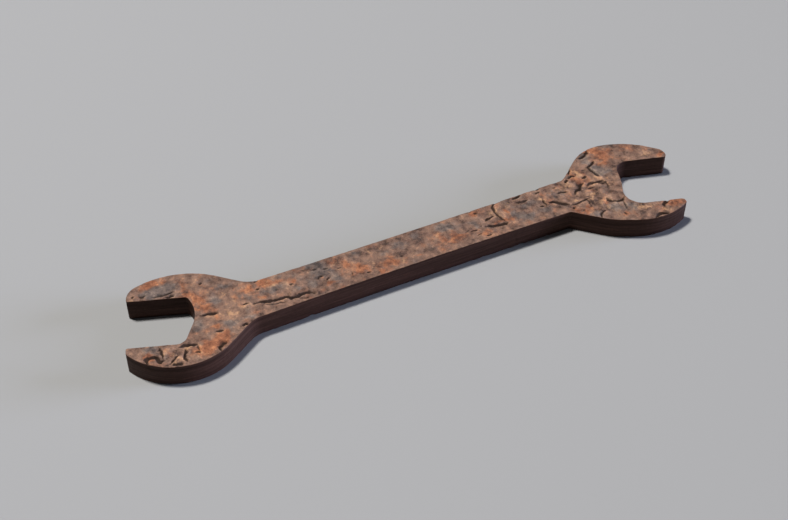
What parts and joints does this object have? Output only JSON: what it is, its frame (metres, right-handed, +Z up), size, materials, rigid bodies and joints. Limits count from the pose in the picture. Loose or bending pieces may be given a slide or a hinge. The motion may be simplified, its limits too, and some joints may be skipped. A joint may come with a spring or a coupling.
{
  "type": "double open-ended wrench",
  "caption": "Flat, heavily rusted steel wrench: a straight shank with a fixed open jaw at each end, the jaws turned to opposite sides, for hexagon nuts and bolt heads.",
  "frame": {"origin": "middle of the shank, on the underside that the wrench lies on", "axes": "+X along the shank towards the large jaws, +Y across the shank towards the side that the small jaws lean to, +Z up from the underside to the upper face"},
  "size_m": [0.3272, 0.0739, 0.0128],
  "materials": {
    "rusted_steel": "matte"
  },
  "bodies": {
    "root": {"wrench_body": "rusted_steel"}
  },
  "joints": []
}
